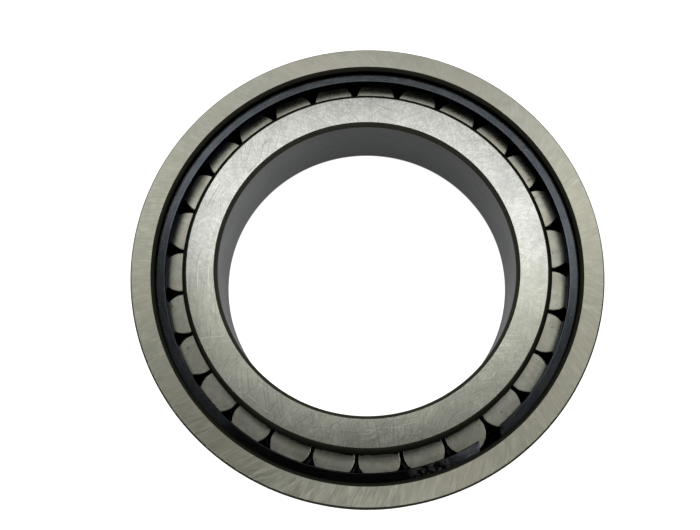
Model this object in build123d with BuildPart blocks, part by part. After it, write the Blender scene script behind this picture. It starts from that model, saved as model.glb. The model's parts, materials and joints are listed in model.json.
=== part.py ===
from build123d import *
from math import sqrt
import os

# Full-complement cylindrical roller bearing: bore 60, outside diameter 95, width 18.
# The axis is +Z, and the origin is on it in the plane of the back side face, so the
# bearing lies on its back. The front, with the retaining ring, faces +Z. Millimetres.

# ---- driving dimensions ---------------------------------------------------------

# boundary dimensions
bore_diameter = 60
outside_diameter = 95
width = 18

# roller set
roller_count = 27
roller_diameter = 8.8
roller_length = 9.0
roller_corner = 0.5
pitch_radius = 38.2
first_roller_angle = 7.07
roller_depth = 5.2

# clearances
raceway_clearance = 0.02
end_clearance = 0.08

# rings
inner_flange_radius = 37.2
outer_flange_radius = 40.7
outside_corner_radius = 1.1
outside_corner_runout = 0.42
bore_corner_radius = 1.4
bore_corner_runout = 0.69
flange_chamfer = 1.05
flange_chamfer_height = 1.2
land_chamfer = 0.66
land_chamfer_height = 0.8
edge_break = 0.3
relief_depth = 0.35
relief_width = 0.9
relief_slope = 0.2

# retaining ring and its groove
ring_depth = 1.9
ring_thickness = 2.1
ring_inner_radius = 40.7
ring_outer_radius = 43.9
ring_edge_chamfer = 0.2
groove_side_clearance = 0.05
groove_bottom_clearance = 0.05
gap_angle = 304.4
gap_width = 4.6
gap_slant = 29

# ---- derived dimensions ---------------------------------------------------------

bore_radius = bore_diameter / 2
outside_radius = outside_diameter / 2
roller_radius = roller_diameter / 2
inner_raceway_radius = pitch_radius - roller_radius - raceway_clearance
outer_raceway_radius = pitch_radius + roller_radius + raceway_clearance

roller_front = width - roller_depth
roller_back = roller_front - roller_length
front_wall = roller_front + end_clearance
back_wall = roller_back - end_clearance

# The seat corners are arcs tangent to the seat, cut off by the ground side face.
outside_corner_height = sqrt(
    outside_corner_radius**2 - (outside_corner_radius - outside_corner_runout) ** 2
)
bore_corner_height = sqrt(
    bore_corner_radius**2 - (bore_corner_radius - bore_corner_runout) ** 2
)

ring_back = width - ring_depth - ring_thickness
ring_radial_width = ring_outer_radius - ring_inner_radius
ring_mean_radius = ring_inner_radius + ring_radial_width / 2
cut_length = 4 * ring_radial_width
groove_front = ring_back + ring_thickness + groove_side_clearance
groove_radius = ring_outer_radius + groove_bottom_clearance

os.makedirs("parts", exist_ok=True)


# ---- outer ring: one flange at the back, retaining-ring groove at the front -----

with BuildPart() as outer_ring:
    with BuildSketch(Plane.XZ):
        with BuildLine():
            seat = Line(
                (outside_radius, outside_corner_height),
                (outside_radius, width - outside_corner_height),
            )
            inside = Polyline(
                (outside_radius - outside_corner_runout, width),
                (outer_raceway_radius + land_chamfer, width),
                (outer_raceway_radius, width - land_chamfer_height),
                (outer_raceway_radius, groove_front),
                (groove_radius, groove_front),
                (groove_radius, ring_back),
                (outer_raceway_radius, ring_back),
                (outer_raceway_radius, back_wall + relief_width),
                (outer_raceway_radius + relief_depth, back_wall + relief_width - relief_slope),
                (outer_raceway_radius + relief_depth, back_wall),
                (outer_flange_radius + edge_break, back_wall),
                (outer_flange_radius, back_wall - edge_break),
                (outer_flange_radius, land_chamfer_height),
                (outer_flange_radius + land_chamfer, 0),
                (outside_radius - outside_corner_runout, 0),
            )
            RadiusArc(seat @ 1, inside @ 0, -outside_corner_radius)
            RadiusArc(inside @ 1, seat @ 0, -outside_corner_radius)
        make_face()
    revolve(axis=Axis.Z)
outer_ring.part.label = "outer_ring"
export_step(outer_ring.part, "parts/outer_ring.step")


# ---- inner ring: two flanges, with the raceway between them ---------------------

with BuildPart() as inner_ring:
    with BuildSketch(Plane.XZ):
        with BuildLine():
            seat = Line(
                (bore_radius, bore_corner_height),
                (bore_radius, width - bore_corner_height),
            )
            outside = Polyline(
                (bore_radius + bore_corner_runout, width),
                (inner_flange_radius - flange_chamfer, width),
                (inner_flange_radius, width - flange_chamfer_height),
                (inner_flange_radius, front_wall + edge_break),
                (inner_flange_radius - edge_break, front_wall),
                (inner_raceway_radius - relief_depth, front_wall),
                (inner_raceway_radius - relief_depth, front_wall - relief_width + relief_slope),
                (inner_raceway_radius, front_wall - relief_width),
                (inner_raceway_radius, back_wall + relief_width),
                (inner_raceway_radius - relief_depth, back_wall + relief_width - relief_slope),
                (inner_raceway_radius - relief_depth, back_wall),
                (inner_flange_radius - edge_break, back_wall),
                (inner_flange_radius, back_wall - edge_break),
                (inner_flange_radius, flange_chamfer_height),
                (inner_flange_radius - flange_chamfer, 0),
                (bore_radius + bore_corner_runout, 0),
            )
            RadiusArc(seat @ 1, outside @ 0, bore_corner_radius)
            RadiusArc(outside @ 1, seat @ 0, bore_corner_radius)
        make_face()
    revolve(axis=Axis.Z)
inner_ring.part.label = "inner_ring"
export_step(inner_ring.part, "parts/inner_ring.step")


# ---- retaining ring: flat spring steel, split by one slanting cut ---------------

with BuildPart() as snap_ring:
    with BuildSketch(Plane.XZ):
        with Locations((ring_mean_radius, ring_back + ring_thickness / 2)):
            section = Rectangle(ring_radial_width, ring_thickness)
        chamfer(section.vertices(), ring_edge_chamfer)
    revolve(axis=Axis.Z)
    with BuildSketch(Plane.XY.offset(ring_back)):
        with PolarLocations(ring_mean_radius, 1, start_angle=gap_angle):
            Rectangle(cut_length, gap_width, rotation=-gap_slant)
    extrude(amount=ring_thickness, mode=Mode.SUBTRACT)
snap_ring.part.label = "snap_ring"
export_step(snap_ring.part, "parts/snap_ring.step")


# ---- rollers: a full complement, evenly spaced round the pitch circle -----------

for number in range(roller_count):
    angle = first_roller_angle + number * 360 / roller_count
    foot = Vector(pitch_radius, 0, roller_back).rotate(Axis.Z, angle)
    with BuildPart() as roller:
        with BuildSketch(Plane(origin=foot)):
            Circle(roller_radius)
        extrude(amount=roller_length)
        fillet(roller.edges().filter_by(GeomType.CIRCLE), roller_corner)
    name = f"roller_{number + 1:02d}"
    roller.part.label = name
    export_step(roller.part, f"parts/{name}.step")
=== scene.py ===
import json
import math
import random

import bpy
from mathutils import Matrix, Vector

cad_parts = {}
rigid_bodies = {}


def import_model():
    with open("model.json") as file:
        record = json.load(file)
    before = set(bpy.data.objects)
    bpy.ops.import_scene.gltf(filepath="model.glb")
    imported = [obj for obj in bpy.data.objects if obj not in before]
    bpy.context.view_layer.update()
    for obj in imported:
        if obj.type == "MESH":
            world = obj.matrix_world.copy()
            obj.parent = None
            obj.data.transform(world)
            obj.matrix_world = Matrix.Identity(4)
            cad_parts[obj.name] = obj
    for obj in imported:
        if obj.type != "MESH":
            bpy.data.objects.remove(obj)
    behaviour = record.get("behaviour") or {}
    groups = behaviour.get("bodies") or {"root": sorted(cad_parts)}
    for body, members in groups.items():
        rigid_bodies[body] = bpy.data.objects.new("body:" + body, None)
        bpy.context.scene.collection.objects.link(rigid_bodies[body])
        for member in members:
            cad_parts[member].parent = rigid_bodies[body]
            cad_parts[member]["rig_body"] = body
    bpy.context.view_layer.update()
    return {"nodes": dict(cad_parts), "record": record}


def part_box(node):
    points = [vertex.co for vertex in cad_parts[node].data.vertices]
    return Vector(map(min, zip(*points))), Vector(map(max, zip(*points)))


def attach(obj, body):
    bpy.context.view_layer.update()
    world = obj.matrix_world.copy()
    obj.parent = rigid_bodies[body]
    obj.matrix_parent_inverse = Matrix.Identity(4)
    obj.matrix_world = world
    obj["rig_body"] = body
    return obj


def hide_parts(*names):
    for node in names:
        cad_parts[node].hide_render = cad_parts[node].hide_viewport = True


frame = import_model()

# A cylindrical roller bearing lying on its back, seen steeply from above. Lengths are in
# metres, so sizes known in millimetres are written as number * MM.

MM = 0.001
random.seed(27)


# ---- sizes ------------------------------------------------------------------------

record = frame["record"]
mounts = {mount["name"]: mount for mount in record["mounts"]}
rollers = sorted(name for name in frame["nodes"] if name.startswith("roller_"))

outside_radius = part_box("outer_ring")[1].x
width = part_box("outer_ring")[1].z
bore_radius = mounts["bore"]["dims"]["r_mm"] * MM
inner_flange_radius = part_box("inner_ring")[1].x
roller_low, roller_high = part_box(rollers[0])
roller_half = (roller_high.z - roller_low.z) / 2
ring_low, ring_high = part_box("snap_ring")

# corners of the bore and of the outside diameter: arcs that the ground face cuts short
OUTSIDE_CORNER = 1.1 * MM
OUTSIDE_RUNOUT = 0.42 * MM
BORE_CORNER = 1.4 * MM
BORE_RUNOUT = 0.69 * MM

LAND_RADIUS = 42.62 * MM
LAND_CHAMFER = 0.66 * MM
LAND_CHAMFER_HEIGHT = 0.8 * MM
INNER_RACEWAY = 33.78 * MM
OUTER_FLANGE_RADIUS = 40.7 * MM
FLANGE_CHAMFER = 1.05 * MM
FLANGE_CHAMFER_HEIGHT = 1.2 * MM
GROOVE_RADIUS = 43.95 * MM
GROOVE_GAP = 0.05 * MM
RELIEF_DEPTH = 0.35 * MM
RELIEF_WIDTH = 0.9 * MM
RELIEF_SLOPE = 0.2 * MM
END_CLEARANCE = 0.08 * MM
EDGE_BREAK = 0.3 * MM
EDGE_ROUNDING = 0.06 * MM

ROLLER_RADIUS = 4.4 * MM
ROLLER_CORNER = 0.5 * MM

RING_INNER_RADIUS = 40.7 * MM
RING_OUTER_RADIUS = 43.9 * MM
RING_MIDDLE = (RING_INNER_RADIUS + RING_OUTER_RADIUS) / 2
RING_HALF = (RING_OUTER_RADIUS - RING_INNER_RADIUS) / 2
RING_EDGE = 0.2 * MM
RING_END_BEVEL = 0.1 * MM
GAP_ANGLE = 304.4
GAP_WIDTH = 4.6 * MM
GAP_SLANT = 29

# the front part of the retaining ring, which painted shade makes black, in degrees: its middle is this far
# clockwise of +X
DARK_FRONT_MIDDLE = 99
DARK_FRONT_HALF = 31

# the most of a side that the rounding at one of its ends may take
ROUNDING_SHARE = 0.45

RING_STEPS = 360
ROLLER_STEPS = 64
SHARP = math.radians(40)

front_wall = roller_high.z + END_CLEARANCE
back_wall = roller_low.z - END_CLEARANCE


# ---- shapes -----------------------------------------------------------------------

def arc(centre, radius, start, end, steps=6):
    """Points on an arc in the half section, angles in degrees from +r."""
    points = []
    for step in range(steps + 1):
        angle = math.radians(start + (end - start) * step / steps)
        points.append((centre[0] + radius * math.cos(angle), centre[1] + radius * math.sin(angle)))
    return points


def softened(corners, steps=3):
    """Rounds the corners of a half section.

    Each corner is (radius, height, rounding, surface). The surface runs from that corner to
    the next. Returns the finer outline as (radius, height, surface).
    """
    outline = []
    for index, (radius, height, rounding, surface) in enumerate(corners):
        here = Vector((radius, height))
        before = Vector(corners[index - 1][:2])
        after = Vector(corners[(index + 1) % len(corners)][:2])
        if rounding == 0:
            outline.append((radius, height, surface))
            continue
        into = (before - here).normalized()
        out = (after - here).normalized()
        half = into.angle(out) / 2
        room = ROUNDING_SHARE * min((before - here).length, (after - here).length)
        reach = min(rounding / math.tan(half), room)
        for step in range(steps + 1):
            share = step / steps
            along = here + into * reach * (1 - share) ** 2 + out * reach * share ** 2
            outline.append((along.x, along.y, surface))
    return outline


def build_mesh(name, points, faces, surfaces, materials):
    """A smooth-shaded mesh whose faces take the material of the surface they belong to."""
    mesh = bpy.data.meshes.new(name)
    mesh.from_pydata(points, [], faces)
    slots = sorted(set(surfaces))
    for surface in slots:
        mesh.materials.append(materials[surface])
    for polygon, surface in zip(mesh.polygons, surfaces):
        polygon.material_index = slots.index(surface)
        polygon.use_smooth = True
    mesh.set_sharp_from_angle(angle=SHARP)
    piece = bpy.data.objects.new(name, mesh)
    bpy.context.scene.collection.objects.link(piece)
    weighted = piece.modifiers.new("weighted_normals", "WEIGHTED_NORMAL")
    weighted.keep_sharp = True
    return piece


def lathe(name, outline, steps, materials):
    """Turns a closed half section, (radius, height, surface), into a ring."""
    points = []
    faces = []
    surfaces = []
    count = len(outline)
    for step in range(steps):
        turn = 2 * math.pi * step / steps
        for radius, height, _ in outline:
            points.append((radius * math.cos(turn), radius * math.sin(turn), height))
    for step in range(steps):
        here = step * count
        there = (step + 1) % steps * count
        for index in range(count):
            following = (index + 1) % count
            faces.append((here + index, there + index, there + following, here + following))
            surfaces.append(outline[index][2])
    return build_mesh(name, points, faces, surfaces, materials)


def finish_piece(piece, node):
    """The piece stands for a CAD node, which is hidden, and moves with its body."""
    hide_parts(node)
    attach(piece, frame["nodes"][node]["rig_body"])
    return piece


def seat_corner(seat_radius, corner, runout, outward, top):
    """The arc from the seat to the side face, as points from seat to face."""
    centre_radius = seat_radius - outward * corner
    sweep = math.acos(1 - runout / corner)
    drop = corner * math.sin(sweep)
    centre_height = width - drop if top else drop
    start = 0 if outward > 0 else 180
    turn = outward if top else -outward
    end = start + turn * math.degrees(sweep)
    return arc((centre_radius, centre_height), corner, start, end)


# ---- node materials ---------------------------------------------------------------

class Nodes:
    """A node tree, with short calls for the nodes used here."""

    def __init__(self, owner):
        owner.use_nodes = True
        self.tree = owner.node_tree

    def add(self, kind, **settings):
        node = self.tree.nodes.new(kind)
        for key, value in settings.items():
            setattr(node, key, value)
        return node

    def feed(self, socket, value):
        if isinstance(value, bpy.types.NodeSocket):
            self.tree.links.new(value, socket)
        else:
            socket.default_value = value

    def math(self, operation, first, second=0.0):
        node = self.add("ShaderNodeMath", operation=operation)
        self.feed(node.inputs[0], first)
        self.feed(node.inputs[1], second)
        return node.outputs[0]

    def vector(self, operation, first, second=(0.0, 0.0, 0.0)):
        node = self.add("ShaderNodeVectorMath", operation=operation)
        self.feed(node.inputs[0], first)
        if operation == "SCALE":
            self.feed(node.inputs["Scale"], second)
        else:
            self.feed(node.inputs[1], second)
        return node.outputs["Value" if operation == "LENGTH" else "Vector"]

    def split(self, vector):
        node = self.add("ShaderNodeSeparateXYZ")
        self.feed(node.inputs[0], vector)
        return node.outputs

    def join(self, x, y, z):
        node = self.add("ShaderNodeCombineXYZ")
        for socket, value in zip(node.inputs, (x, y, z)):
            self.feed(socket, value)
        return node.outputs[0]

    def turn(self, vector, angle):
        node = self.add("ShaderNodeVectorRotate", rotation_type="Z_AXIS")
        self.feed(node.inputs["Vector"], vector)
        self.feed(node.inputs["Angle"], angle)
        return node.outputs[0]

    def noise(self, vector, scale=1.0, detail=3.0, roughness=0.55):
        node = self.add("ShaderNodeTexNoise")
        self.feed(node.inputs["Vector"], vector)
        node.inputs["Scale"].default_value = scale
        node.inputs["Detail"].default_value = detail
        node.inputs["Roughness"].default_value = roughness
        return node.outputs["Fac"]

    def span(self, value, low, high, to_low=0.0, to_high=1.0):
        """value from low..high carried to to_low..to_high, clamped and eased."""
        node = self.add("ShaderNodeMapRange", interpolation_type="SMOOTHSTEP")
        for socket, number in zip(node.inputs, (value, low, high, to_low, to_high)):
            self.feed(socket, number)
        return node.outputs[0]

    def mix(self, share, first, second):
        node = self.add("ShaderNodeMix", data_type="RGBA")
        self.feed(node.inputs["Factor"], share)
        self.feed(node.inputs["A"], first)
        self.feed(node.inputs["B"], second)
        return node.outputs["Result"]

    def bump(self, height, distance, under=None):
        """A normal from a height of 0 to 1 times distance, laid over the normal under."""
        node = self.add("ShaderNodeBump")
        node.inputs["Strength"].default_value = 1.0
        node.inputs["Distance"].default_value = distance
        self.feed(node.inputs["Height"], height)
        if under is not None:
            self.feed(node.inputs["Normal"], under)
        return node.outputs[0]


class Paint(Nodes):
    """The nodes of a new material."""

    def __init__(self, name):
        self.material = bpy.data.materials.new(name)
        super().__init__(self.material)
        self.shader = self.tree.nodes["Principled BSDF"]
        self.place = self.add("ShaderNodeTexCoord").outputs["Object"]

    def metal(self, color, roughness, normal, **constants):
        """Feeds the shader and returns the material; constants are further sockets by name."""
        self.feed(self.shader.inputs["Base Color"], color)
        self.feed(self.shader.inputs["Roughness"], roughness)
        self.feed(self.shader.inputs["Normal"], normal)
        self.shader.inputs["Metallic"].default_value = 1.0
        for key, value in constants.items():
            self.shader.inputs[key].default_value = value
        return self.material


def rgb(red, green, blue):
    return (red, green, blue, 1.0)


def polar(nodes):
    """Place in millimetres, distance from the axis, direction from the axis, and height."""
    place = nodes.vector("SCALE", nodes.place, 1 / MM)
    x, y, z = nodes.split(place)
    flat = nodes.join(x, y, 0.0)
    radius = nodes.vector("LENGTH", flat)
    direction = nodes.vector("NORMALIZE", flat)
    return place, radius, direction, z


def around(nodes, place):
    """Angle about the axis, from -pi to pi, counted from +X."""
    x, y, _ = nodes.split(place)
    return nodes.math("ARCTAN2", y, x)


LEAN_START = 3.6
SCRATCH_EDGE = 0.08


def lay_lines(nodes, radius, direction, count, length, lean=0.0, seed=0.0, detail=2.0):
    """Grinding lines that run outwards.

    count is how many features fit along one ring radius of arc, length is theirs in mm, and
    lean turns them from the outward direction, as a number or a socket. LEAN_START is the
    logarithm of the radius in mm where a leaning line is at its own angle.
    """
    climb = nodes.math("SUBTRACT", nodes.math("LOGARITHM", radius, math.e), LEAN_START)
    drift = nodes.math("MULTIPLY", climb, lean)
    x, y, _ = nodes.split(nodes.vector("SCALE", nodes.turn(direction, drift), count))
    outward = nodes.math("ADD", nodes.math("MULTIPLY", radius, 1 / length), seed)
    return nodes.noise(nodes.join(x, y, outward), detail=detail)


def scratches(nodes, place, angle, spacing, length, level, seed, bend=0.0):
    """Fine scratches along one direction, as a mask: 1 on a scratch. bend curves them."""
    x, y, _ = nodes.split(nodes.turn(place, math.radians(angle)))
    across = nodes.math("ADD", y, nodes.math("MULTIPLY", nodes.math("MULTIPLY", x, x), bend))
    along = nodes.math("MULTIPLY", x, 1 / length)
    across = nodes.math("MULTIPLY", across, 1 / spacing)
    lines = nodes.noise(nodes.join(along, across, seed), detail=1.0)
    return nodes.span(lines, level, level + SCRATCH_EDGE)


def crossing(nodes, place, sets, spacing, length, level):
    """Several sets of fine scratches over one another; each set is (angle, seed, bend)."""
    marks = None
    for angle, seed, bend in sets:
        more = scratches(nodes, place, angle, spacing, length, level, seed, bend)
        marks = more if marks is None else nodes.math("MAXIMUM", marks, more)
    return marks


def outer_face_steel():
    """Side face of the outer ring: ground with a leaning outward lay, a little smudged."""
    nodes = Paint("outer_ring_ground_face")
    place, radius, direction, _ = polar(nodes)
    _, sideways, _ = nodes.split(direction)
    lean = nodes.math("SUBTRACT", nodes.math("MULTIPLY", sideways, -0.8), 0.1)
    wander = nodes.noise(nodes.vector("SCALE", direction, 1.3), detail=1.0)
    lean = nodes.math("ADD", lean, nodes.span(wander, 0.3, 0.7, -0.3, 0.3))
    fine = lay_lines(nodes, radius, direction, 260.0, 1.8, lean=lean)
    medium = lay_lines(nodes, radius, direction, 90.0, 3.0, lean=lean, seed=7.0, detail=4.0)
    broad = lay_lines(nodes, radius, direction, 26.0, 5.0, lean=lean, seed=3.0)
    blotch = nodes.noise(place, scale=0.5, detail=5.0, roughness=0.6)
    tint = nodes.noise(place, scale=0.045, detail=2.0)
    sets = ((65, 3.0, 0.0), (155, 8.0, 0.02), (20, 17.0, -0.01), (110, 29.0, 0.01))
    light_scratch = crossing(nodes, place, sets, 0.22, 6.0, 0.71)
    lay = nodes.math("ADD", nodes.math("MULTIPLY", fine, 0.4), nodes.math("MULTIPLY", medium, 0.6))
    color = nodes.mix(nodes.span(lay, 0.36, 0.64), rgb(0.41, 0.415, 0.336), rgb(0.62, 0.625, 0.514))
    color = nodes.mix(nodes.span(sideways, 0.1, 0.7, 0.0, 0.5), color, rgb(0.515, 0.505, 0.465))
    color = nodes.mix(nodes.span(broad, 0.35, 0.65, 0.0, 0.45), color, rgb(0.44, 0.445, 0.36))
    color = nodes.mix(nodes.span(blotch, 0.42, 0.66, 0.0, 0.6), color, rgb(0.42, 0.43, 0.355))
    color = nodes.mix(nodes.span(tint, 0.40, 0.62, 0.0, 0.35), color, rgb(0.54, 0.505, 0.403))
    color = nodes.mix(nodes.math("MULTIPLY", light_scratch, 0.3), color, rgb(0.80, 0.80, 0.691))
    roughness = nodes.span(nodes.math("ADD", lay, nodes.math("MULTIPLY", blotch, 0.3)), 0.4, 0.9, 0.32, 0.4)
    normal = nodes.bump(fine, 0.006 * MM, under=nodes.bump(medium, 0.02 * MM))
    tangent = nodes.add("ShaderNodeTangent", direction_type="RADIAL", axis="Z").outputs[0]
    nodes.feed(nodes.shader.inputs["Tangent"], tangent)
    return nodes.metal(color, roughness, normal, Anisotropic=0.6)


def inner_face_steel():
    """Side face of the inner ring: brighter, ground in fine crossing arcs, with a film of oil; painted shade
    makes its front darker and more olive, with more oil patches there.
    """
    nodes = Paint("inner_ring_ground_face")
    place, radius, direction, _ = polar(nodes)
    _, sideways, _ = nodes.split(direction)
    swirl = lay_lines(nodes, radius, direction, 64.0, 4.0, lean=1.2)
    counter = lay_lines(nodes, radius, direction, 58.0, 4.0, lean=-1.0, seed=4.0)
    fine = lay_lines(nodes, radius, direction, 120.0, 3.0, lean=0.15, seed=9.0, detail=1.0)
    mottle = nodes.noise(place, scale=0.9, detail=3.0)
    patch = nodes.noise(place, scale=0.12, detail=5.0)
    dark_sets = ((65, 1.0, 0.02), (-35, 5.0, 0.03), (15, 9.0, -0.02), (100, 13.0, 0.015),
                 (40, 33.0, -0.03), (-70, 37.0, 0.01), (-10, 41.0, 0.025), (125, 45.0, -0.015))
    dark_lines = crossing(nodes, place, dark_sets, 0.34, 9.0, 0.63)
    bright_lines = crossing(nodes, place, ((125, 21.0, 0.02), (50, 25.0, -0.02)), 0.3, 8.0, 0.66)
    lay = nodes.math("MULTIPLY", nodes.math("ADD", nodes.math("ADD", swirl, counter), fine), 1 / 3)
    color = nodes.mix(nodes.span(lay, 0.42, 0.58), rgb(0.49, 0.495, 0.455), rgb(0.63, 0.635, 0.60))
    color = nodes.mix(nodes.span(mottle, 0.42, 0.66, 0.0, 0.35), color, rgb(0.44, 0.445, 0.40))
    # oil patches, with more of them towards the front as painted shade
    oil = nodes.span(nodes.math("SUBTRACT", patch, nodes.math("MULTIPLY", sideways, 0.08)), 0.50, 0.62)
    color = nodes.mix(nodes.math("MULTIPLY", oil, 0.4), color, rgb(0.36, 0.375, 0.365))
    # painted shade: the front of the face is made darker and more olive
    painted_front_shade = nodes.span(sideways, -0.4, 0.3, 0.45, 0.0)
    color = nodes.mix(painted_front_shade, color, rgb(0.41, 0.42, 0.29))
    busy = nodes.span(nodes.noise(place, scale=0.08, detail=2.0), 0.4, 0.6, 0.2, 0.6)
    color = nodes.mix(nodes.math("MULTIPLY", dark_lines, busy), color, rgb(0.25, 0.25, 0.22))
    color = nodes.mix(nodes.math("MULTIPLY", bright_lines, 0.4), color, rgb(0.80, 0.80, 0.76))
    matt = nodes.math("ADD", lay, nodes.math("MULTIPLY", mottle, 0.4))
    roughness = nodes.span(matt, 0.45, 0.95, 0.20, 0.26)
    waves = nodes.noise(place, scale=0.1, detail=1.0)
    normal = nodes.bump(lay, 0.0006 * MM, under=nodes.bump(waves, 0.008 * MM))
    return nodes.metal(color, roughness, normal)


def corner_steel():
    """Corners and chamfers left dark and dull from heat treatment.

    Painted shade makes them blacker away from the side face, less so at the bore, and a painted
    highlight lightens the outer corner at the back of the bearing.
    """
    nodes = Paint("unground_corner")
    place, radius, direction, z = polar(nodes)
    grain = nodes.noise(place, scale=3.0, detail=4.0)
    x, y, _ = nodes.split(nodes.vector("SCALE", direction, 6.0))
    slope = nodes.math("MULTIPLY", nodes.math("ADD", radius, z), 7.0)
    turned = nodes.noise(nodes.join(x, y, slope), detail=2.0)
    color = nodes.mix(nodes.span(grain, 0.3, 0.7), rgb(0.032, 0.033, 0.022), rgb(0.058, 0.058, 0.040))
    color = nodes.mix(nodes.span(turned, 0.45, 0.7, 0.0, 0.5), color, rgb(0.085, 0.083, 0.06))
    half_width = width / 2 / MM
    off_middle = nodes.math("ABSOLUTE", nodes.math("SUBTRACT", z, half_width))
    depth = nodes.math("SUBTRACT", half_width, off_middle)
    off_bore = nodes.span(radius, 33.0, 34.0, 0.4, 1.0)
    # painted shade: blacker deeper into the bearing, away from the side faces, less so at the bore
    painted_depth_shade = nodes.math("MULTIPLY", nodes.span(depth, 0.0, 1.0, 0.35, 0.92), off_bore)
    color = nodes.mix(painted_depth_shade, color, rgb(0.006, 0.006, 0.004))
    _, sideways, _ = nodes.split(direction)
    # painted highlight: the outer corner is lightened at the back of the bearing
    at_outside = nodes.span(radius, 46.8, 47.0, 0.0, 0.6)
    painted_back_highlight = nodes.math("MULTIPLY", at_outside, nodes.span(sideways, -0.3, 0.3))
    color = nodes.mix(painted_back_highlight, color, rgb(0.50, 0.50, 0.44))
    roughness = nodes.span(grain, 0.3, 0.7, 0.38, 0.55)
    gloss = {"Metallic": 0.0, "Specular IOR Level": 0.1}
    return nodes.metal(color, roughness, nodes.bump(grain, 0.004 * MM), **gloss)


def seat_steel(name, light, dark, gloss):
    """A finely ground cylindrical seat: faint lines round it, and darker and cooler in tone lower down."""
    nodes = Paint(name)
    place, _, direction, z = polar(nodes)
    x, y, _ = nodes.split(nodes.vector("SCALE", direction, 5.0))
    lines = nodes.noise(nodes.join(x, y, nodes.math("MULTIPLY", z, 6.0)), detail=3.0)
    cloud = nodes.noise(place, scale=0.12, detail=3.0)
    fine = nodes.noise(nodes.join(x, y, nodes.math("MULTIPLY", z, 30.0)), detail=2.0)
    color = nodes.mix(nodes.span(lines, 0.3, 0.7), dark, light)
    color = nodes.mix(nodes.span(cloud, 0.35, 0.7, 0.0, 0.4), color, dark)
    # darker and cooler in tone towards the floor
    color = nodes.mix(nodes.span(z, 16.0, -2.0, 0.0, 0.45), color, rgb(0.16, 0.165, 0.18))
    roughness = nodes.span(nodes.math("ADD", lines, cloud), 0.7, 1.3, gloss, gloss + 0.1)
    return nodes.metal(color, roughness, nodes.bump(fine, 0.001 * MM))


# painted shade: grazing reflections on black surfaces inside the bearing are dimmed, and on the retaining
# ring's edges also tinted blue
SHADED_GRAZING_TINT = rgb(0.05, 0.05, 0.05)
SHADED_BLUE_GRAZING_TINT = rgb(0.32, 0.35, 0.40)


def raceway_steel():
    """Raceways, walls and reliefs inside the bearing, near black: partly dark oil, mostly painted shade."""
    nodes = Paint("oily_raceway_painted_shade")
    place, *_ = polar(nodes)
    shade_blend = nodes.noise(place, scale=0.5, detail=3.0)
    # painted shade: near black, varying a little with the oil film
    color = nodes.mix(nodes.span(shade_blend, 0.35, 0.65), rgb(0.005, 0.005, 0.0042), rgb(0.012, 0.012, 0.010))
    roughness = nodes.span(shade_blend, 0.35, 0.65, 0.3, 0.42)
    return nodes.metal(color, roughness, nodes.bump(shade_blend, 0.002 * MM), **{"Specular Tint": SHADED_GRAZING_TINT})


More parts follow.
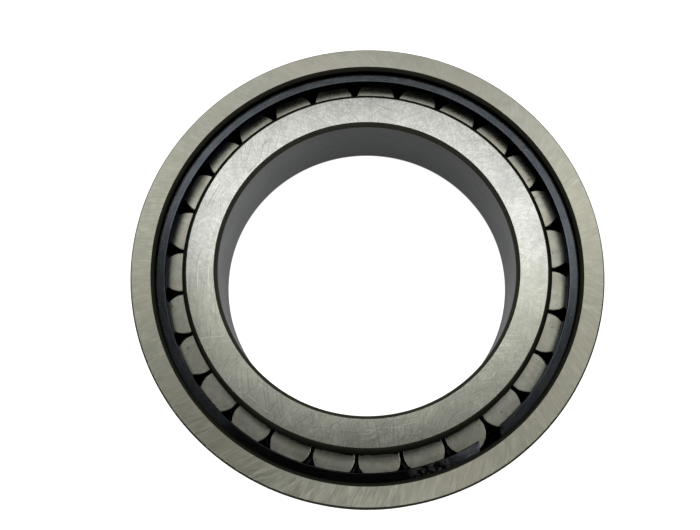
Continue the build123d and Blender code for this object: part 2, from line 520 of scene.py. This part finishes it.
def spring_steel():
    """Flat of the retaining ring: blued wire, satin, with wear and a painted highlight along its edges.

    Painted shade makes it black over its front part, which is also glossier, with grey smears in the
    half of that part towards the cut, and a painted sheen lightens the end beside the cut. The painted shade
    fades out on both sides.
    """
    nodes = Paint("blued_spring_steel")
    place, radius, direction, _ = polar(nodes)
    x, y, _ = nodes.split(nodes.vector("SCALE", direction, 16.0))
    rolled = nodes.noise(nodes.join(x, y, nodes.math("MULTIPLY", radius, 4.0)), detail=3.0)
    cloud = nodes.noise(place, scale=0.35, detail=4.0)
    speck = nodes.noise(place, scale=2.2, detail=3.0, roughness=0.6)

    dark_front_half = math.radians(DARK_FRONT_HALF)
    signed = around(nodes, nodes.turn(place, math.radians(DARK_FRONT_MIDDLE)))
    swing = nodes.math("ABSOLUTE", signed)
    swing = nodes.math("ADD", swing, nodes.math("MULTIPLY", cloud, 0.1))
    painted_front_dark = nodes.span(swing, dark_front_half, dark_front_half + 0.12, 1.0, 0.0)

    color = nodes.mix(nodes.span(rolled, 0.3, 0.7), rgb(0.0442, 0.052, 0.0598), rgb(0.078, 0.0884, 0.0988))
    color = nodes.mix(nodes.span(cloud, 0.35, 0.65, 0.0, 0.4), color, rgb(0.0988, 0.104, 0.107))
    color = nodes.mix(nodes.span(speck, 0.62, 0.70, 0.0, 0.6), color, rgb(0.177, 0.177, 0.172))
    color = nodes.mix(nodes.span(speck, 0.36, 0.30, 0.0, 0.8), color, rgb(0.0104, 0.0114, 0.0125))
    # painted shade, fading out on both sides of the front part
    shade_blend = nodes.span(swing, math.radians(82), math.radians(106), 0.6, 0.0)
    color = nodes.mix(shade_blend, color, rgb(0.0078, 0.0078, 0.0084))
    # painted shade: black over the front part
    color = nodes.mix(nodes.math("MULTIPLY", painted_front_dark, 0.9), color, rgb(0.0104, 0.0109, 0.0114))

    smear = nodes.noise(place, scale=0.8, detail=4.0, roughness=0.65)
    smear = nodes.math("MULTIPLY", nodes.span(smear, 0.44, 0.58), nodes.span(swing, 0.4, 0.46))
    smear = nodes.math("MULTIPLY", nodes.math("MULTIPLY", smear, painted_front_dark), nodes.span(signed, -0.1, 0.1))
    color = nodes.mix(nodes.math("MULTIPLY", smear, 0.7), color, rgb(0.25, 0.255, 0.26))
    # painted sheen: the end beside the cut is made lighter
    end = nodes.math("MULTIPLY", nodes.span(signed, 0.56, 0.64), nodes.span(signed, 0.84, 0.78))
    end = nodes.math("MULTIPLY", end, nodes.span(rolled, 0.35, 0.65, 0.3, 0.8))
    color = nodes.mix(end, color, rgb(0.20, 0.205, 0.23))

    ring_half = RING_HALF / MM
    # wear and a painted highlight: lighter along both edges of the flat, most where the flat is not painted
    # dark
    off_middle = nodes.math("ABSOLUTE", nodes.math("SUBTRACT", radius, RING_MIDDLE / MM))
    edge_wear_and_highlight = nodes.math("SUBTRACT", off_middle, nodes.math("MULTIPLY", speck, 0.12))
    edge_wear_and_highlight = nodes.span(edge_wear_and_highlight, ring_half - 0.42, ring_half - 0.26)
    edge_wear_and_highlight = nodes.math("MULTIPLY", edge_wear_and_highlight, nodes.span(swing, dark_front_half, 1.6, 0.12, 0.55))
    color = nodes.mix(edge_wear_and_highlight, color, rgb(0.17, 0.185, 0.205))

    roughness = nodes.span(nodes.math("ADD", rolled, speck), 0.8, 1.3, 0.2, 0.28)
    roughness = nodes.math("SUBTRACT", roughness, nodes.math("MULTIPLY", painted_front_dark, 0.08))
    return nodes.metal(color, roughness, nodes.bump(rolled, 0.001 * MM))


def spring_side_steel():
    """Edges and ends of the retaining ring, near black, with their grazing reflections dimmed and tinted
    blue as painted shade.
    """
    nodes = Paint("oiled_spring_edge")
    _, _, direction, z = polar(nodes)
    x, y, _ = nodes.split(nodes.vector("SCALE", direction, 3.0))
    drawn = nodes.noise(nodes.join(x, y, nodes.math("MULTIPLY", z, 3.0)), detail=3.0)
    color = nodes.mix(nodes.span(drawn, 0.35, 0.7), rgb(0.008, 0.009, 0.010), rgb(0.045, 0.048, 0.052))
    roughness = nodes.span(drawn, 0.3, 0.7, 0.22, 0.34)
    return nodes.metal(color, roughness, nodes.bump(drawn, 0.001 * MM), **{"Specular Tint": SHADED_BLUE_GRAZING_TINT})


def roller_end_steel():
    """Roller ends: fine ground steel with stains, specks of dirt and an oily edge.

    The seed attribute shifts the pattern, so every roller is marked differently.
    """
    nodes = Paint("roller_end_face")
    seed = nodes.add("ShaderNodeAttribute", attribute_name="seed").outputs["Fac"]
    shift = nodes.vector("SCALE", (13.0, 7.0, 3.0), seed)
    place = nodes.vector("ADD", nodes.vector("SCALE", nodes.place, 1 / MM), shift)
    grain = nodes.noise(place, scale=0.9, detail=1.0)
    stain = nodes.noise(place, scale=0.35, detail=1.0)
    dots = nodes.noise(place, scale=1.0, detail=0.0)
    x, y, _ = nodes.split(nodes.turn(place, seed))
    lines = nodes.join(nodes.math("MULTIPLY", x, 0.2), nodes.math("MULTIPLY", y, 1.4), 0.0)
    brushed = nodes.noise(lines, detail=0.0)
    color = nodes.mix(nodes.span(grain, 0.3, 0.7), rgb(0.315, 0.32, 0.265), rgb(0.385, 0.39, 0.325))
    color = nodes.mix(nodes.span(brushed, 0.35, 0.65, 0.0, 0.35), color, rgb(0.30, 0.305, 0.25))
    color = nodes.mix(nodes.span(stain, 0.52, 0.68, 0.0, 0.5), color, rgb(0.36, 0.325, 0.265))
    color = nodes.mix(nodes.span(dots, 0.78, 0.81, 0.0, 0.7), color, rgb(0.12, 0.10, 0.07))
    outward, sideways, _ = nodes.split(nodes.vector("SCALE", nodes.place, 1 / MM))
    drip = nodes.join(nodes.math("MULTIPLY", outward, 0.5), sideways, seed)
    drip = nodes.noise(drip, scale=0.5, detail=3.0)
    reach = nodes.math("SUBTRACT", outward, nodes.math("MULTIPLY", drip, 1.2))
    oil = nodes.span(reach, -1.8, -1.6, 1.0, 0.0)
    color = nodes.mix(oil, color, rgb(0.02, 0.02, 0.018))
    waves = nodes.noise(place, scale=0.25, detail=0.0)
    roughness = nodes.span(waves, 0.3, 0.7, 0.26, 0.32)
    roughness = nodes.math("SUBTRACT", roughness, nodes.math("MULTIPLY", oil, 0.12))
    return nodes.metal(color, roughness, nodes.bump(waves, 0.0015 * MM))


def roller_side_steel():
    """Rounded corners of a roller, bright at the rim, and its rolling surface, painted near black as shade.
    """
    nodes = Paint("roller_side")
    place = nodes.vector("SCALE", nodes.place, 1 / MM)
    x, y, z = nodes.split(place)
    lines = nodes.join(nodes.math("MULTIPLY", x, 0.2), nodes.math("MULTIPLY", y, 0.2), z)
    lines = nodes.noise(lines, scale=6.0)
    ragged = nodes.noise(place, scale=0.9, detail=3.0)
    color = nodes.mix(nodes.span(lines, 0.3, 0.7), rgb(0.22, 0.22, 0.185), rgb(0.29, 0.29, 0.24))
    depth = nodes.math("SUBTRACT", roller_half / MM, nodes.math("ABSOLUTE", z))
    depth = nodes.math("ADD", depth, nodes.math("MULTIPLY", nodes.math("SUBTRACT", ragged, 0.5), 0.04))
    # painted shade: the rolling surface, seen only in the gaps between rollers, is near black
    color = nodes.mix(nodes.span(depth, 0.005, 0.045), color, rgb(0.004, 0.004, 0.0035))
    roughness = nodes.span(lines, 0.3, 0.7, 0.34, 0.42)
    return nodes.metal(color, roughness, nodes.bump(lines, 0.001 * MM), **{"Specular Tint": SHADED_GRAZING_TINT})


MATERIALS = {
    "outer_face": outer_face_steel(),
    "inner_face": inner_face_steel(),
    "corner": corner_steel(),
    "outer_seat": seat_steel("outer_ring_seat", rgb(0.58, 0.575, 0.53), rgb(0.48, 0.475, 0.43), 0.24),
    "bore_seat": seat_steel("inner_ring_bore", rgb(0.52, 0.53, 0.525), rgb(0.42, 0.435, 0.435), 0.22),
    "raceway": raceway_steel(),
    "spring": spring_steel(),
    "spring_side": spring_side_steel(),
    "roller_end": roller_end_steel(),
    "roller_side": roller_side_steel(),
}


# ---- outer ring -------------------------------------------------------------------

high_corner = seat_corner(outside_radius, OUTSIDE_CORNER, OUTSIDE_RUNOUT, 1, True)
low_corner = seat_corner(outside_radius, OUTSIDE_CORNER, OUTSIDE_RUNOUT, 1, False)[::-1]

outer_corners = [(r, z, 0, "corner") for r, z in high_corner[:-1]]
outer_corners += [
    (*high_corner[-1], EDGE_ROUNDING, "outer_face"),
    (LAND_RADIUS + LAND_CHAMFER, width, EDGE_ROUNDING, "corner"),
    (LAND_RADIUS, width - LAND_CHAMFER_HEIGHT, EDGE_ROUNDING, "raceway"),
    (LAND_RADIUS, ring_high.z + GROOVE_GAP, EDGE_ROUNDING, "raceway"),
    (GROOVE_RADIUS, ring_high.z + GROOVE_GAP, EDGE_ROUNDING, "raceway"),
    (GROOVE_RADIUS, ring_low.z, EDGE_ROUNDING, "raceway"),
    (LAND_RADIUS, ring_low.z, EDGE_ROUNDING, "raceway"),
    (LAND_RADIUS, back_wall + RELIEF_WIDTH, EDGE_ROUNDING, "raceway"),
    (LAND_RADIUS + RELIEF_DEPTH, back_wall + RELIEF_WIDTH - RELIEF_SLOPE, EDGE_ROUNDING, "raceway"),
    (LAND_RADIUS + RELIEF_DEPTH, back_wall, EDGE_ROUNDING, "raceway"),
    (OUTER_FLANGE_RADIUS + EDGE_BREAK, back_wall, EDGE_ROUNDING, "raceway"),
    (OUTER_FLANGE_RADIUS, back_wall - EDGE_BREAK, EDGE_ROUNDING, "raceway"),
    (OUTER_FLANGE_RADIUS, LAND_CHAMFER_HEIGHT, EDGE_ROUNDING, "corner"),
    (OUTER_FLANGE_RADIUS + LAND_CHAMFER, 0, EDGE_ROUNDING, "outer_face"),
]
outer_corners.append((*low_corner[0], EDGE_ROUNDING, "corner"))
outer_corners += [(r, z, 0, "corner") for r, z in low_corner[1:-1]]
outer_corners.append((*low_corner[-1], 0, "outer_seat"))

outer_ring = lathe("outer_ring_finished", softened(outer_corners), RING_STEPS, MATERIALS)
finish_piece(outer_ring, "outer_ring")


# ---- inner ring -------------------------------------------------------------------

high_corner = seat_corner(bore_radius, BORE_CORNER, BORE_RUNOUT, -1, True)[::-1]
low_corner = seat_corner(bore_radius, BORE_CORNER, BORE_RUNOUT, -1, False)

inner_corners = [(r, z, 0, "corner") for r, z in high_corner[:-1]]
inner_corners.append((*high_corner[-1], 0, "bore_seat"))
inner_corners += [(r, z, 0, "corner") for r, z in low_corner[:-1]]
inner_corners += [
    (*low_corner[-1], 0, "inner_face"),
    (inner_flange_radius - FLANGE_CHAMFER, 0, EDGE_ROUNDING, "corner"),
    (inner_flange_radius, FLANGE_CHAMFER_HEIGHT, EDGE_ROUNDING, "raceway"),
    (inner_flange_radius, back_wall - EDGE_BREAK, EDGE_ROUNDING, "raceway"),
    (inner_flange_radius - EDGE_BREAK, back_wall, EDGE_ROUNDING, "raceway"),
    (INNER_RACEWAY - RELIEF_DEPTH, back_wall, EDGE_ROUNDING, "raceway"),
    (INNER_RACEWAY - RELIEF_DEPTH, back_wall + RELIEF_WIDTH - RELIEF_SLOPE, EDGE_ROUNDING, "raceway"),
    (INNER_RACEWAY, back_wall + RELIEF_WIDTH, EDGE_ROUNDING, "raceway"),
    (INNER_RACEWAY, front_wall - RELIEF_WIDTH, EDGE_ROUNDING, "raceway"),
    (INNER_RACEWAY - RELIEF_DEPTH, front_wall - RELIEF_WIDTH + RELIEF_SLOPE, EDGE_ROUNDING, "raceway"),
    (INNER_RACEWAY - RELIEF_DEPTH, front_wall, EDGE_ROUNDING, "raceway"),
    (inner_flange_radius - EDGE_BREAK, front_wall, EDGE_ROUNDING, "raceway"),
    (inner_flange_radius, front_wall + EDGE_BREAK, EDGE_ROUNDING, "raceway"),
    (inner_flange_radius, width - FLANGE_CHAMFER_HEIGHT, EDGE_ROUNDING, "corner"),
    (inner_flange_radius - FLANGE_CHAMFER, width, 0, "inner_face"),
]

inner_ring = lathe("inner_ring_finished", softened(inner_corners), RING_STEPS, MATERIALS)
finish_piece(inner_ring, "inner_ring")


# ---- retaining ring ---------------------------------------------------------------

def cut_angle(radius, side):
    """Angle at which a circle meets one side of the slanting cut, in radians."""
    slant = math.radians(GAP_SLANT)
    across = Vector((math.sin(slant), math.cos(slant)))
    along = Vector((math.cos(slant), -math.sin(slant)))
    centre = Vector((RING_MIDDLE, 0)) + side * GAP_WIDTH / 2 * across
    reach = centre.dot(along)
    travel = -reach + math.sqrt(reach ** 2 - centre.length_squared + radius ** 2)
    point = centre + along * travel
    return math.radians(GAP_ANGLE) + math.atan2(point.y, point.x)


def split_ring(name, outline, steps, materials):
    """Sweeps a closed half section round from one side of the cut to the other.

    The first and last stations are inset, which bevels the ends of the ring.
    """
    points = []
    faces = []
    surfaces = []
    count = len(outline)
    middle = Vector((sum(p[0] for p in outline), sum(p[1] for p in outline))) / count
    stations = [(step / steps, False) for step in range(steps + 1)]
    stations = [(0.0, True), *stations, (1.0, True)]
    for share, inset in stations:
        for radius, height, _ in outline:
            section = Vector((radius, height))
            start = cut_angle(radius, 1)
            end = cut_angle(radius, -1) + 2 * math.pi
            turn = start + (end - start) * share
            if inset:
                section += (middle - section).normalized() * RING_END_BEVEL
            else:
                pull = RING_END_BEVEL / radius
                turn += pull * (1 - 2 * share)
            points.append((section.x * math.cos(turn), section.x * math.sin(turn), section.y))
    last = len(stations) - 1
    for station in range(last):
        here = station * count
        there = here + count
        for index in range(count):
            following = (index + 1) % count
            faces.append((here + index, there + index, there + following, here + following))
            surfaces.append(outline[index][2])
    faces.append(tuple(range(count - 1, -1, -1)))
    faces.append(tuple(last * count + index for index in range(count)))
    surfaces += ["spring_side", "spring_side"]
    return build_mesh(name, points, faces, surfaces, materials)


ring_corners = [
    (RING_OUTER_RADIUS, ring_low.z, RING_EDGE, "spring_side"),
    (RING_OUTER_RADIUS, ring_high.z, RING_EDGE, "spring"),
    (RING_INNER_RADIUS, ring_high.z, RING_EDGE, "spring_side"),
    (RING_INNER_RADIUS, ring_low.z, RING_EDGE, "spring_side"),
]
snap_ring = split_ring("snap_ring_finished", softened(ring_corners, steps=4), RING_STEPS, MATERIALS)
finish_piece(snap_ring, "snap_ring")


# ---- rollers ----------------------------------------------------------------------

def roller_mesh(name, radius, half_length, seed):
    """A roller about its own axis: rolling surface, rounded corners and flat ends."""
    inner = radius - ROLLER_CORNER
    shoulder = half_length - ROLLER_CORNER
    outline = arc((inner, -shoulder), ROLLER_CORNER, -90, 0)
    outline += arc((inner, shoulder), ROLLER_CORNER, 0, 90)
    points = []
    faces = []
    surfaces = []
    count = len(outline)
    for step in range(ROLLER_STEPS):
        turn = 2 * math.pi * step / ROLLER_STEPS
        for r, z in outline:
            points.append((r * math.cos(turn), r * math.sin(turn), z))
    for step in range(ROLLER_STEPS):
        here = step * count
        there = (step + 1) % ROLLER_STEPS * count
        for index in range(count - 1):
            faces.append((here + index, there + index, there + index + 1, here + index + 1))
            surfaces.append("roller_side")
    faces.append(tuple(step * count + count - 1 for step in range(ROLLER_STEPS)))
    faces.append(tuple(step * count for step in range(ROLLER_STEPS - 1, -1, -1)))
    surfaces += ["roller_end", "roller_end"]
    piece = build_mesh(name, points, faces, surfaces, MATERIALS)
    marks = piece.data.attributes.new("seed", "FLOAT", "POINT")
    marks.data.foreach_set("value", [seed] * len(points))
    return piece


for node in rollers:
    low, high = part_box(node)
    roller = roller_mesh(f"{node}_finished", ROLLER_RADIUS, (high.z - low.z) / 2, random.uniform(0, 10))
    roller.location = (low + high) / 2
    roller.rotation_euler.z = math.atan2(roller.location.y, roller.location.x)
    finish_piece(roller, node)


# ---- floor, lights and camera -----------------------------------------------------

FLOOR_SIZE = 6.0

# brightness of the dim room that the steel reflects
HORIZON = 0.45
OVERHEAD = 0.05
BELOW_FRONT = 0.125
BELOW_BACK = 0.25

CAMERA_PLACE = Vector((-0.22, -48.34, 181.5)) * MM
CAMERA_TILT = 14.87
CAMERA_ROLL = 0.94
CAMERA_LENS = 48.3
CAMERA_SENSOR = 36


def white_floor():
    """A glowing white floor, dark where the bearing stands on it and no light gets in."""
    nodes = Paint("white_floor")
    radius = nodes.vector("LENGTH", nodes.place)
    middle = (bore_radius + outside_radius) / 2
    off_middle = nodes.math("ABSOLUTE", nodes.math("SUBTRACT", radius, middle))
    half = (outside_radius - bore_radius) / 2
    glow = nodes.span(off_middle, half - OUTSIDE_RUNOUT, half)
    nodes.feed(nodes.shader.inputs["Base Color"], nodes.mix(glow, rgb(0.01, 0.01, 0.01), rgb(0.9, 0.9, 0.9)))
    nodes.feed(nodes.shader.inputs["Emission Color"], rgb(1, 1, 1))
    nodes.feed(nodes.shader.inputs["Emission Strength"], glow)
    nodes.feed(nodes.shader.inputs["Roughness"], 0.8)
    return nodes.material


bpy.ops.mesh.primitive_plane_add(size=FLOOR_SIZE, location=(0, 0, 0))
floor = bpy.context.object
floor.name = "floor"
floor.data.materials.append(white_floor())
floor.visible_glossy = False

target = Vector((0, 0, width))


def softbox(name, x, y, size_x, size_y, watts, height=1.0):
    """A rectangular softbox that hangs over the bearing and faces straight down."""
    light = bpy.data.lights.new(name, "AREA")
    light.shape = "RECTANGLE"
    light.size = size_x
    light.size_y = size_y
    light.energy = watts
    lamp = bpy.data.objects.new(name, light)
    lamp.location = target + Vector((x, y, height))
    bpy.context.scene.collection.objects.link(lamp)


softbox("right_softbox", x=0.6, y=-0.15, size_x=0.2, size_y=0.2, watts=2.8)
softbox("right_back_softbox", x=0.3, y=0.6, size_x=0.3, size_y=0.15, watts=0.23)
softbox("back_softbox", x=0.15, y=0.3, size_x=0.75, size_y=0.45, watts=0.62)
softbox("back_middle_softbox", x=0.0, y=0.45, size_x=0.3, size_y=0.15, watts=0.075, height=0.95)
softbox("back_strip", x=0.135, y=0.27, size_x=0.675, size_y=0.135, watts=0.44, height=0.9)
softbox("left_back_softbox", x=-0.375, y=0.525, size_x=0.3, size_y=0.3, watts=0.8)
softbox("left_softbox", x=-0.6, y=-0.3, size_x=0.2, size_y=0.2, watts=2.45)


def studio_world():
    """A dim room: darkest overhead and towards the camera's side, lighter round the horizon."""
    world = bpy.data.worlds.new("studio")
    nodes = Nodes(world)
    right, back, up = nodes.split(nodes.add("ShaderNodeTexCoord").outputs["Generated"])
    side = nodes.math("ADD", back, nodes.math("MULTIPLY", right, 0.45))
    below = nodes.span(side, -0.45, 0.35, BELOW_FRONT, BELOW_BACK)
    above = nodes.span(up, 0.0, 0.7, HORIZON, OVERHEAD)
    level = nodes.add("ShaderNodeMix")
    nodes.feed(level.inputs[0], nodes.span(up, -0.3, 0.0))
    nodes.feed(level.inputs[2], below)
    nodes.feed(level.inputs[3], above)
    nodes.feed(nodes.tree.nodes["Background"].inputs["Color"], nodes.join(*[level.outputs[0]] * 3))
    return world


bpy.context.scene.world = studio_world()

camera_data = bpy.data.cameras.new("camera")
camera_data.lens = CAMERA_LENS
camera_data.sensor_width = CAMERA_SENSOR
camera = bpy.data.objects.new("camera", camera_data)
camera.location = target + CAMERA_PLACE
camera.rotation_mode = "YXZ"
camera.rotation_euler = (math.radians(CAMERA_TILT), math.radians(CAMERA_ROLL), 0)
bpy.context.scene.collection.objects.link(camera)
bpy.context.scene.camera = camera

bpy.context.scene.view_settings.view_transform = "Standard"
